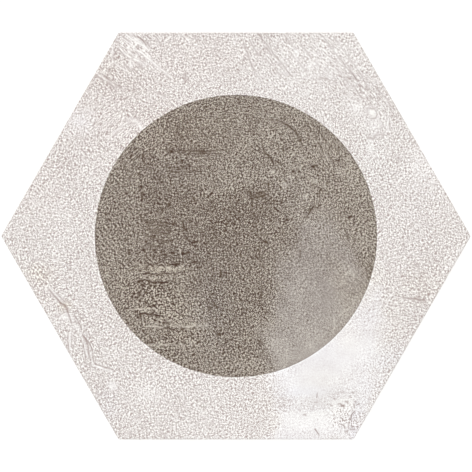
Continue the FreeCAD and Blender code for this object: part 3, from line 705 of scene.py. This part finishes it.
def hexagon_ring(inset):
    """Points round the tile's outline, inset from it, anticlockwise from the corner on +X."""
    reach = (apothem - inset) / math.cos(HALF_TURN)
    turns = 2 * HALF_TURN * np.arange(SIDES + 1)
    corners = reach * np.stack([np.cos(turns), np.sin(turns)], 1)
    along = np.arange(SIDE_POINTS)[:, None] / SIDE_POINTS
    points = np.concatenate([corners[k] * (1 - along) + corners[k + 1] * along for k in range(SIDES)])
    # each corner is drawn in to where its rounding passes
    points[::SIDE_POINTS] *= 1 - (corner_radius - inset) * (1 / math.cos(HALF_TURN) - 1) / reach
    return points


def reach_out(points):
    """How far points lie from the middle, square to the nearest side."""
    turns = HALF_TURN * (2 * np.arange(SIDES) + 1)
    return (points @ np.stack([np.cos(turns), np.sin(turns)])).max(1)


def face_lattice():
    """Evenly spread points of the face, a little out of line, clear of its edge and of the strokes."""
    row = FACE_PITCH * math.sqrt(0.75)
    rows, columns = int(apothem / row), int(apothem / math.cos(HALF_TURN) / FACE_PITCH) + 2
    i, j = np.meshgrid(np.arange(-columns, columns + 1), np.arange(-rows, rows + 1))
    points = np.stack([(i + 0.5 * (j % 2)) * FACE_PITCH, j * row], -1).reshape(-1, 2)
    points += np.random.default_rng(7).uniform(-FACE_JITTER, FACE_JITTER, points.shape) * FACE_PITCH
    points = points[reach_out(points) < face_apothem - LATTICE_MARGIN]
    u, v = stroke_coordinates(*points.T)
    clear = np.ones(len(points), bool)
    for half_width, _, line in STROKES:
        clear &= distance_to_line(u, v, line) > half_width + STROKE_CLEARANCE
    return points[clear]


def stroke_points():
    """Points on each stroke's line and on both its edges, which give it a crisp slope."""
    found = []
    for half_width, _, line in STROKES:
        for (ax, ay), (bx, by) in zip(line, line[1:]):
            length = math.hypot(bx - ax, by - ay)
            share = np.arange(0, 1, STROKE_PITCH / length)[:, None]
            middle = np.array([[ax, ay]]) * (1 - share) + np.array([[bx, by]]) * share
            aside = np.array([[ay - by, bx - ax]]) / length * half_width
            found += [middle, middle + aside, middle - aside]
        found.append(np.array([line[-1]]))
    found = np.concatenate(found)
    # the strokes are drawn in bent coordinates, so their points are bent back, a little nearer at each step
    points = found.copy()
    for _ in range(UNBENDING_STEPS):
        points += found - np.column_stack(stroke_coordinates(*points.T))
    return points[reach_out(points) < face_apothem - STROKE_MARGIN]


def relief(points):
    """Depth of the face below its highest plane: a slight unevenness, and cracks that end at the arris."""
    x, y = points.T
    inward = face_apothem - reach_out(points)
    # broad waves and finer ones, which together stay between 0 and 1
    depth = 0.5 - 0.3 * lattice_noise(x, y, cell=14, seed=71) - 0.2 * lattice_noise(x, y, cell=5, seed=72)
    depth *= UNEVENNESS * smooth_step(inward / UNEVENNESS_FADE)
    deep = smooth_step(inward / CRACK_FADE)
    for change, share in stroke_shares(*stroke_coordinates(x, y)):
        if change < 0:
            depth += CRACK_DEPTH * min(change / DEEPEST_CHANGE, 1) * share * deep
    return np.maximum(depth, 0)


def face_mesh():
    """Points and triangles of the face."""
    edge = hexagon_ring(arris_radius)
    flat = [Vector(p) for p in np.concatenate([edge, face_lattice(), stroke_points()])]
    loop = [(k, (k + 1) % len(edge)) for k in range(len(edge))]
    points, _, triangles, *_ = delaunay_2d_cdt(flat, loop, [], INSIDE_THE_EDGE, CLOSEST, False)
    points, triangles = np.array([(p.x, p.y) for p in points]), np.array(triangles)
    # between the points of one side the triangulation leaves slivers, which aren't part of the face
    inward = face_apothem - reach_out(points[triangles].mean(1))
    return np.column_stack([points, thickness - relief(points)]), triangles[inward > LEAST_INWARD]


def side_mesh():
    """Points and faces from the edge of the glazed face down to the foot."""
    levels = []  # inset from the outline, and height
    for step in range(ARRIS_STEPS + 1):
        turn = math.pi / 2 * step / ARRIS_STEPS
        levels.append((arris_radius * (1 - math.sin(turn)), thickness - arris_radius * (1 - math.cos(turn))))
    land = thickness - land_height
    levels += [(0, (levels[-1][1] + land) / 2), (0, land)]
    draft_inset = (land - foot_chamfer) * math.tan(math.radians(draft_angle))
    for step in range(1, DRAFT_STEPS + 1):
        levels.append((draft_inset * step / DRAFT_STEPS, land + (foot_chamfer - land) * step / DRAFT_STEPS))
    levels.append((draft_inset + foot_chamfer, 0.0))
    around = SIDES * SIDE_POINTS
    rings = [np.column_stack([hexagon_ring(inset), np.full(around, z)]) for inset, z in levels]
    faces = []
    for level in range(len(levels) - 1):
        for k in range(around):
            a, b = level * around + k, level * around + (k + 1) % around
            faces.append((a, a + around, b + around, b))
    return np.concatenate(rings), faces


def add_faces(work, points, faces):
    verts = [work.verts.new(Vector(p) * MM) for p in points]
    for face in faces:
        work.faces.new([verts[k] for k in face])


def add_pockets(work):
    """The pockets of the back as the solid has them, with their edges and corners rounded."""
    solid = bmesh.new()
    solid.from_mesh(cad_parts["hexagon_tile"].data)
    bmesh.ops.remove_doubles(solid, verts=solid.verts, dist=SOLID_WELD * MM)
    floor = pocket_depth * MM
    outside = [f for f in solid.faces if abs(max(v.co.z for v in f.verts) - floor) > SAME_HEIGHT * MM]
    bmesh.ops.delete(solid, geom=outside, context="FACES")
    bmesh.ops.dissolve_limit(solid, angle_limit=math.radians(1), verts=solid.verts, edges=solid.edges)
    inner = [e for e in solid.edges if len(e.link_faces) == 2]
    bmesh.ops.bevel(solid, geom=inner, offset=POCKET_ROUNDING * MM, segments=2, profile=0.5, affect="EDGES")
    solid.normal_update()
    brim = [e for e in solid.edges if e.is_boundary]
    inward = {v: Vector((v.normal.x, v.normal.y, 0)).normalized() for e in brim for v in e.verts}
    # the brim becomes a slope: a new edge out on the rib, and the old one further in and up
    for v in bmesh.ops.extrude_edge_only(solid, edges=brim)["geom"]:
        if isinstance(v, bmesh.types.BMVert):
            old = next(e.other_vert(v) for e in v.link_edges if e.other_vert(v) in inward)
            v.co -= inward[old] * BRIM_OUT * MM
    for v, direction in inward.items():
        v.co += direction * BRIM_IN * MM
        v.co.z = BRIM_HEIGHT * MM
    solid.verts.index_update()
    # sorted, because the extrusion lists its faces in another order each time
    faces = sorted([v.index for v in f.verts] for f in solid.faces)
    add_faces(work, [v.co / MM for v in solid.verts], faces)
    solid.free()


def tile_mesh():
    """The face, the sides and the pockets as one skin, with the crests of the back filled in between them."""
    work = bmesh.new()
    add_faces(work, *face_mesh())
    add_faces(work, *side_mesh())
    add_pockets(work)
    bmesh.ops.remove_doubles(work, verts=work.verts, dist=WELD * MM)
    back_edges = [e for e in work.edges if e.is_boundary and max(v.co.z for v in e.verts) < SAME_HEIGHT * MM]
    bmesh.ops.triangle_fill(work, use_beauty=True, edges=back_edges, normal=(0, 0, -1))
    bmesh.ops.recalc_face_normals(work, faces=work.faces)
    mesh = bpy.data.meshes.new("porcelain_tile")
    work.to_mesh(mesh)
    work.free()
    return mesh


def add_attribute(mesh, name, values):
    """A number or a vector at each point of the mesh, for its material."""
    kind, field = ("FLOAT", "value") if values.ndim == 1 else ("FLOAT_VECTOR", "vector")
    mesh.attributes.new(name, kind, "POINT").data.foreach_set(field, values.ravel())


def read(items, name, kind=np.float32, size=1):
    """A number, or a row of them, for each point, corner or face of a mesh."""
    values = np.empty(len(items) * size, kind)
    items.foreach_get(name, values)
    return values.reshape(-1, size).squeeze()


# Layout of the texture, in shares of its width
FACE_WIDTH = 0.85
BACK_WIDTH = 0.27
STRIP_WIDTH = 0.33  # of one side of the tile, laid out flat
LAYOUT_GAP = 0.012

STRIP_MARGIN = 1.0  # in millimetres of the tile, above and below a side
LEVEL = 0.5  # upright part of its normal from which a face belongs to the top
BACK_HEIGHT = 0.02  # below which a face belongs to the back


def lay_out(mesh, points):
    """Flattens the tile for a texture: the face as large as it goes, then the back and the six sides."""
    counts = read(mesh.polygons, "loop_total", np.int32)
    normals = read(mesh.polygons, "normal", size=3)
    centres = read(mesh.polygons, "center", size=3) / MM
    x, y, z = points[read(mesh.loops, "vertex_index", np.int32)].T
    width, height = 2 * apothem / math.cos(HALF_TURN), 2 * apothem
    scale = FACE_WIDTH / width
    top = (LAYOUT_GAP + (x + width / 2) * scale, LAYOUT_GAP + (y + height / 2) * scale)
    rest_floor = 2 * LAYOUT_GAP + height * scale
    scale = BACK_WIDTH / width
    back = (LAYOUT_GAP + (width / 2 - x) * scale, rest_floor + (y + height / 2) * scale)
    side = np.floor(np.arctan2(centres[:, 1], centres[:, 0]) / (2 * HALF_TURN)).astype(int) % SIDES
    side = np.repeat(side, counts)
    turn = HALF_TURN * (2 * side + 1)
    scale = STRIP_WIDTH / (width / 2)
    along = (y * np.cos(turn) - x * np.sin(turn)) + width / 4
    inset = apothem - (x * np.cos(turn) + y * np.sin(turn))
    up = z + np.where(z > thickness / 2, inset, -inset) + STRIP_MARGIN
    strip_left = BACK_WIDTH + 2 * LAYOUT_GAP + (side % 2) * (STRIP_WIDTH + LAYOUT_GAP)
    strip_floor = rest_floor + (side // 2) * ((thickness + 2 * STRIP_MARGIN) * scale + LAYOUT_GAP)
    strip = (strip_left + along * scale, strip_floor + up * scale)
    on_top = normals[:, 2] > LEVEL
    on_side = ~on_top & (centres[:, 2] > BACK_HEIGHT) & (reach_out(centres[:, :2]) > face_apothem)
    flat = np.where(np.repeat(on_side, counts), strip, np.where(np.repeat(on_top, counts), top, back)).T
    mesh.uv_layers.new(name="OFBake").data.foreach_set("uv", flat.ravel())


def add_tile():
    mesh = tile_mesh()
    points = read(mesh.vertices, "co", size=3).astype(float) / MM
    x, y = points[:, 0], points[:, 1]
    tone, grain, tint = clouding(x, y)
    add_attribute(mesh, "tone", tone)
    add_attribute(mesh, "grain", grain)
    add_attribute(mesh, "streaks", LEAST_STREAKS + patch_sum(x, y, STREAK_PATCHES))
    add_attribute(mesh, "blotches", LEAST_BLOTCHES + patch_sum(x, y, BLOTCH_PATCHES))
    add_attribute(mesh, "run", grain_run(x, y))
    add_attribute(mesh, "tint", tint)
    lay_out(mesh, points)
    mesh.polygons.foreach_set("use_smooth", [True] * len(mesh.polygons))
    mesh.set_sharp_from_angle(angle=math.radians(SHARP_ANGLE))
    tile = bpy.data.objects.new("porcelain_tile", mesh)
    bpy.context.scene.collection.objects.link(tile)
    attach(tile, "root")
    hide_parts("hexagon_tile")
    return tile


tile = add_tile()


# Materials
def srgb(red, green, blue):
    """Linear colour of a screen colour given in 0 to 255."""
    return [((c / 255 + 0.055) / 1.055) ** 2.4 if c > 10 else c / 255 / 12.92 for c in (red, green, blue)]


def node(tree, kind, inputs=(), **settings):
    """Adds a node. Inputs are by name or number, each a value or the socket that feeds it."""
    made = tree.nodes.new(kind)
    for name, value in settings.items():
        setattr(made, name, value)
    for name, value in dict(inputs).items():
        if isinstance(value, bpy.types.NodeSocket):
            tree.links.new(value, made.inputs[name])
        else:
            made.inputs[name].default_value = value
    return made


def maths(tree, operation, a, b=0.0, c=0.0):
    return node(tree, "ShaderNodeMath", {0: a, 1: b, 2: c}, operation=operation).outputs[0]


def vector_maths(tree, operation, a, b=(0, 0, 0), c=(0, 0, 0)):
    return node(tree, "ShaderNodeVectorMath", {0: a, 1: b, 2: c}, operation=operation).outputs[0]


def scaled(tree, vector, factor):
    return node(tree, "ShaderNodeVectorMath", {0: vector, "Scale": factor}, operation="SCALE").outputs[0]


def noise(tree, vector, cell, detail=0.0, dimensions="3D"):
    """Noise about 0 whose features are about as large as the given cell, in millimetres."""
    made = node(tree, "ShaderNodeTexNoise", {"Vector": vector, "Scale": 1 / cell, "Detail": detail},
                noise_dimensions=dimensions)
    return maths(tree, "SUBTRACT", made.outputs["Fac"], 0.5)


def rise(tree, value, start, end):
    """Goes from 0 to 1 as a value goes from start to end."""
    return node(tree, "ShaderNodeMapRange", {"Value": value, "From Min": start, "From Max": end}).outputs[0]


def blend(tree, share, a, b, kind="RGBA"):
    """Mix of two colours, or of two numbers, each of which has sockets of its own on the node."""
    first, second, result = (6, 7, 2) if kind == "RGBA" else (2, 3, 0)
    return node(tree, "ShaderNodeMix", {0: share, first: a, second: b}, data_type=kind).outputs[result]


def attribute(tree, name, kind="Fac"):
    return node(tree, "ShaderNodeAttribute", attribute_name=name).outputs[kind]


LIGHT = 1.11  # brightness of a white surface on the face, 1 being the screen's white
MIRRORED = 0.055  # brightness that the glaze mirrors at any colour

# Grain of the print. Cells are the width of its marks, and stretches how many times as long they are.
GRAIN = 2.5
GRAIN_CELL, GRAIN_STRETCH = 0.4, 2.7
WEAVE, WEAVE_LEAN = 0.7, 0.25  # strength of each diagonal, and how much the run changes it
STREAK_CELL, STREAK_STRETCH = 0.42, 9.0
STREAK_ONSET = (0.45, 0.9)  # nearness of the run to a streak's direction at which it begins and is full
BLOTCH_CELL = 1.0
DRIFT, DRIFT_CELL = 1.2, 8  # how far the grain is pushed about, and over what distance that changes

# Edge of the disc
EDGE_BLUR = 0.08
EDGE_DARKENING, EDGE_PALENESS = 0.06, 0.10  # change of tone along its inside and along its outside
EDGE_LINE = 0.3  # from the edge, where each change is full
DARK_REACH, PALE_REACH = 1.0, 1.1  # from the edge, where each has ended

# Screen colours of the print from dark to light. SPAN is how much brighter the screen gets over a tone of 1.
DISC_MIDDLE, DISC_SPAN = 138, 160
DISC_COLOURS = [
    (88, 72, 54), (106, 93, 77), (132, 121, 112), (160, 150, 142), (188, 180, 170), (218, 210, 196),
]
GROUND_MIDDLE, GROUND_SPAN = 225, 116
GROUND_COLOURS = [
    (179, 164, 159), (207, 197, 194), (219, 211, 208), (231, 225, 223), (243, 239, 237), (253, 251, 248),
    (263, 261, 258),
]


def luminance(colour):
    return 0.21 * colour[0] + 0.72 * colour[1] + 0.07 * colour[2]


def print_colours(tree, tone, middle, span, colours):
    """Ramp over the tone, 0.5 in the middle, of what the surface sends back of the screen's colours."""
    made = node(tree, "ShaderNodeValToRGB", {"Fac": tone})
    elements = made.color_ramp.elements
    while len(elements) < len(colours):
        elements.new(0.5)
    for element, colour in zip(elements, colours):
        element.position = min(max(0.5 + (luminance(colour) - middle) / span, 0), 1)
        element.color = (*[max(c - MIRRORED, 0) / LIGHT for c in srgb(*colour)], 1)
    return made.outputs["Color"]


def place_in_mm(tree):
    return scaled(tree, node(tree, "ShaderNodeTexCoord").outputs["Object"], 1 / MM)


def dashes(tree, place, turn, cell, stretch):
    """Noise whose grains are drawn out along a direction, in degrees from +X."""
    place = node(tree, "ShaderNodeVectorRotate", {"Vector": place, "Angle": math.radians(-turn)},
                 rotation_type="Z_AXIS").outputs[0]
    return noise(tree, vector_maths(tree, "MULTIPLY", place, (1 / stretch, 1, 1)), cell, dimensions="2D")


def drifted(tree, place):
    """The place pushed about by noise, so that the grain doesn't run dead straight."""
    drift = node(tree, "ShaderNodeTexNoise", {"Vector": place, "Scale": 1 / DRIFT_CELL, "Detail": 0.0},
                 noise_dimensions="2D").outputs["Color"]
    drift = vector_maths(tree, "SUBTRACT", drift, (0.5, 0.5, 0.5))
    return vector_maths(tree, "ADD", place, scaled(tree, drift, DRIFT))


def grain(tree, place):
    """Blotches, a weave of dashes on both diagonals, and streaks that follow the run of the print.

    The run picks among streaks in four directions, each as strong as the run is near its direction.
    """
    place = drifted(tree, place)
    run = node(tree, "ShaderNodeSeparateXYZ", {0: attribute(tree, "run", "Vector")}).outputs
    weave = streaks = 0.0
    for turn, sign in ((45, 1), (135, -1)):
        strength = maths(tree, "MULTIPLY_ADD", run["Y"], sign * WEAVE_LEAN, WEAVE)
        marks = dashes(tree, place, turn, GRAIN_CELL, GRAIN_STRETCH)
        weave = maths(tree, "MULTIPLY_ADD", marks, strength, weave)
    for turn, axis, sign in ((0, "X", 1), (45, "Y", 1), (90, "X", -1), (135, "Y", -1)):
        strength = rise(tree, maths(tree, "MULTIPLY", run[axis], sign), *STREAK_ONSET)
        marks = dashes(tree, place, turn, STREAK_CELL, STREAK_STRETCH)
        streaks = maths(tree, "MULTIPLY_ADD", marks, strength, streaks)
    total = blend(tree, attribute(tree, "streaks"), weave, streaks, "FLOAT")
    blotches = noise(tree, place, BLOTCH_CELL, detail=1.0, dimensions="2D")
    return maths(tree, "MULTIPLY_ADD", blotches, attribute(tree, "blotches"), total)


def ink(tree, place, radius):
    """Colour of the print, and its tone."""
    spread = maths(tree, "MULTIPLY", grain(tree, place), GRAIN)
    middle = maths(tree, "ADD", attribute(tree, "tone"), 0.5)
    tone = maths(tree, "MULTIPLY_ADD", spread, attribute(tree, "grain"), middle)
    # the ink gathers inside the edge of the disc and leaves a paler line outside it
    gathered = rise(tree, radius, disc_radius - DARK_REACH, disc_radius - EDGE_LINE)
    tone_on_disc = maths(tree, "MULTIPLY_ADD", gathered, -EDGE_DARKENING, tone)
    faded = rise(tree, radius, disc_radius + EDGE_LINE, disc_radius + PALE_REACH)
    tone_on_ground = maths(tree, "MULTIPLY_ADD", maths(tree, "SUBTRACT", 1.0, faded), EDGE_PALENESS, tone)
    ground = print_colours(tree, tone_on_ground, GROUND_MIDDLE, GROUND_SPAN, GROUND_COLOURS)
    disc = print_colours(tree, tone_on_disc, DISC_MIDDLE, DISC_SPAN, DISC_COLOURS)
    colour = blend(tree, rise(tree, radius, disc_radius - EDGE_BLUR, disc_radius + EDGE_BLUR), disc, ground)
    return vector_maths(tree, "MULTIPLY_ADD", colour, attribute(tree, "tint", "Vector"), colour), tone


# What isn't glazed
BODY_DARK, BODY_PALE = (*srgb(176, 167, 154), 1), (*srgb(214, 206, 193), 1)
BODY_DUST, BODY_SPOT = (*srgb(203, 197, 186), 1), (*srgb(128, 118, 106), 1)
KILN_WASH, ENGOBE = (*srgb(229, 226, 219), 1), (*srgb(225, 220, 211), 1)
GRAINS_CONTRAST, HAZE_CONTRAST = 1.5, 1.6
WASH_DRAWN = 0.12  # one over how many times as long as wide the wash's streaks are
WASH_CLOUDING = 0.9  # strength of its broad clouds, its streaks being 1
WASH_HEIGHTS = (0.22, 0.1)  # above the crests, where the wash ends and where it is full

# The glaze's lip round the side, and the engobe's below it
ENGOBE_REACH, GLAZE_REACH = 2.5, 1.7  # down from the face
LIP_WAVER = 3.4
LIP_BLUR = 0.05

BARE_ROUGHNESS = 0.93
SATIN, SATIN_SPREAD = 0.68, 0.16  # roughness of the glaze, and how much it varies
SATIN_BY_TONE = 0.05  # how much smoother the glaze gets over a tone of 1
BARE_BUMP, GLAZE_BUMP = 0.10, 0.03


def body(tree, place):
    """Colour of the bare fired body: grey beige with darker and paler grains, and a dusty haze."""
    grains = maths(tree, "MULTIPLY_ADD", noise(tree, place, cell=0.45, detail=1.0), GRAINS_CONTRAST, 0.5)
    haze = maths(tree, "MULTIPLY_ADD", noise(tree, place, cell=9, detail=3.0), HAZE_CONTRAST, 0.5)
    colour = blend(tree, grains, BODY_DARK, BODY_PALE)
    colour = blend(tree, rise(tree, haze, start=0.35, end=0.75), colour, BODY_DUST)
    return blend(tree, rise(tree, noise(tree, place, cell=0.7), start=0.26, end=0.31), colour, BODY_SPOT)


def kiln_wash(tree, place, height):
    """Where the chalky wash of the kiln's rollers has stuck to the crests of the back, in streaks."""
    streaks = noise(tree, vector_maths(tree, "MULTIPLY", place, (1, WASH_DRAWN, 1)), cell=2.2, detail=3.0)
    streaks = maths(tree, "ADD", streaks, maths(tree, "MULTIPLY", noise(tree, place, cell=22), WASH_CLOUDING))
    on_crests = rise(tree, height, *WASH_HEIGHTS)
    return maths(tree, "MULTIPLY", rise(tree, streaks, start=-0.06, end=0.10), on_crests)


def lip(tree, place, height, reach, seed):
    """1 above a wavering line round the side, which lies the given way below the face, and 0 under it."""
    along = vector_maths(tree, "MULTIPLY_ADD", place, (1, 1, 0), (seed, seed, 0))
    waver = maths(tree, "MULTIPLY", noise(tree, along, cell=7, detail=1.0), LIP_WAVER)
    waver = maths(tree, "ADD", waver, noise(tree, along, cell=1.1))
    line = maths(tree, "SUBTRACT", thickness - reach, waver)
    return rise(tree, maths(tree, "SUBTRACT", height, line), -LIP_BLUR, LIP_BLUR)


def glazed_porcelain():
    material = bpy.data.materials.new("glazed_porcelain")
    material.use_nodes = True
    tree = material.node_tree
    shader = tree.nodes["Principled BSDF"]
    place = place_in_mm(tree)
    height = node(tree, "ShaderNodeSeparateXYZ", {0: place}).outputs["Z"]
    flat = vector_maths(tree, "MULTIPLY", place, (1, 1, 0))
    radius = node(tree, "ShaderNodeVectorMath", {0: flat}, operation="LENGTH").outputs["Value"]
    # down the side, the print goes on as if the side were folded out
    folded = maths(tree, "DIVIDE", maths(tree, "SUBTRACT", thickness, height), radius)
    printed, tone = ink(tree, scaled(tree, flat, maths(tree, "ADD", folded, 1.0)), radius)

    bare = blend(tree, kiln_wash(tree, place, height), body(tree, place), KILN_WASH)
    engobe = lip(tree, place, height, ENGOBE_REACH, seed=40)
    glaze = lip(tree, place, height, GLAZE_REACH, seed=0)
    colour = blend(tree, engobe, bare, ENGOBE)
    tree.links.new(blend(tree, glaze, colour, printed), shader.inputs["Base Color"])

    satin = maths(tree, "MULTIPLY_ADD", noise(tree, place, cell=3.5, detail=2.0), SATIN_SPREAD, SATIN)
    satin = maths(tree, "MULTIPLY_ADD", tone, -SATIN_BY_TONE, maths(tree, "ADD", satin, SATIN_BY_TONE / 2))
    tree.links.new(blend(tree, glaze, BARE_ROUGHNESS, satin, "FLOAT"), shader.inputs["Roughness"])

    coarse = maths(tree, "MULTIPLY", noise(tree, place, cell=0.5, detail=2.0), BARE_BUMP)
    fine = maths(tree, "MULTIPLY", noise(tree, place, cell=0.9, detail=3.0), GLAZE_BUMP)
    bump = node(tree, "ShaderNodeBump", {"Height": blend(tree, glaze, coarse, fine, "FLOAT"), "Distance": MM})
    tree.links.new(bump.outputs[0], shader.inputs["Normal"])
    return material


tile.data.materials.append(glazed_porcelain())


# Floor
FLOOR_REACH = 2.0  # metres from the middle
FLOOR_BRIGHTNESS = 0.97
FLOOR_ROUGHNESS = 0.9


def add_floor():
    data = bpy.data.meshes.new("floor")
    corners = [(x * FLOOR_REACH, y * FLOOR_REACH, 0) for x, y in ((-1, -1), (1, -1), (1, 1), (-1, 1))]
    data.from_pydata(corners, [], [(0, 1, 2, 3)])
    floor = bpy.data.objects.new("floor", data)
    bpy.context.scene.collection.objects.link(floor)
    material = bpy.data.materials.new("floor")
    material.use_nodes = True
    shader = material.node_tree.nodes["Principled BSDF"]
    shader.inputs["Base Color"].default_value = (FLOOR_BRIGHTNESS, FLOOR_BRIGHTNESS, FLOOR_BRIGHTNESS, 1)
    shader.inputs["Roughness"].default_value = FLOOR_ROUGHNESS
    data.materials.append(material)


add_floor()
